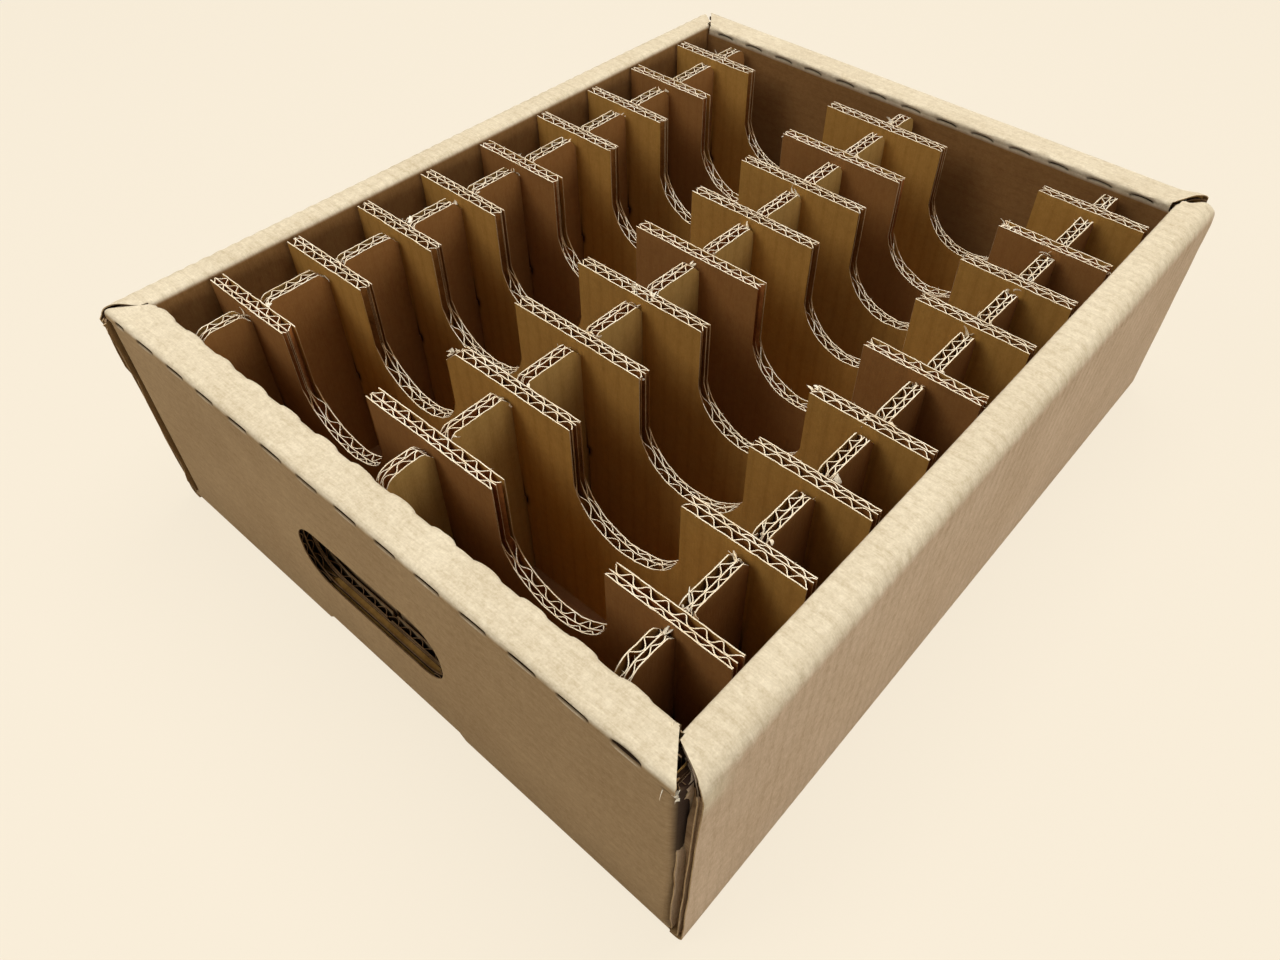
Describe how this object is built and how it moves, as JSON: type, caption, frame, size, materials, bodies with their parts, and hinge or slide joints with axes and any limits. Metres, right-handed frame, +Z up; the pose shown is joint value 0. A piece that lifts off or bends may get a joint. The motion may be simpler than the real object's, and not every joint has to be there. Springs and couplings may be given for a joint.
{
  "type": "corrugated divider tray",
  "caption": "Open corrugated kraft tray with a rolled-over rim and hand holes, holding an interlocking double-wall divider insert with round scoops.",
  "frame": {"origin": "middle of the tray's footprint, on the surface that it rests on", "axes": "+Z up, +Y along the rows of scoops away from the end with the nearer hand hole, +X across them"},
  "size_m": [0.336, 0.412, 0.124],
  "materials": {
    "tray": "matt kraft liner with faint washboard ripples",
    "cross_divider_1": "matt kraft liner with open flutes at its cut edges",
    "cross_divider_2": "matt kraft liner with open flutes at its cut edges",
    "cross_divider_3": "matt kraft liner with open flutes at its cut edges",
    "cross_divider_4": "matt kraft liner with open flutes at its cut edges",
    "cross_divider_5": "matt kraft liner with open flutes at its cut edges",
    "cross_divider_6": "matt kraft liner with open flutes at its cut edges",
    "cross_divider_7": "matt kraft liner with open flutes at its cut edges",
    "cross_divider_8": "matt kraft liner with open flutes at its cut edges",
    "cross_divider_9": "matt kraft liner with open flutes at its cut edges",
    "long_divider_left": "matt kraft liner with open flutes at its cut edges",
    "long_divider_middle": "matt kraft liner with open flutes at its cut edges",
    "long_divider_right": "matt kraft liner with open flutes at its cut edges"
  },
  "bodies": {
    "root": {"tray": "tray", "cross_divider_1": "cross_divider_1", "cross_divider_2": "cross_divider_2", "cross_divider_3": "cross_divider_3", "cross_divider_4": "cross_divider_4", "cross_divider_5": "cross_divider_5", "cross_divider_6": "cross_divider_6", "cross_divider_7": "cross_divider_7", "cross_divider_8": "cross_divider_8", "cross_divider_9": "cross_divider_9", "long_divider_left": "long_divider_left", "long_divider_middle": "long_divider_middle", "long_divider_right": "long_divider_right"}
  },
  "joints": []
}
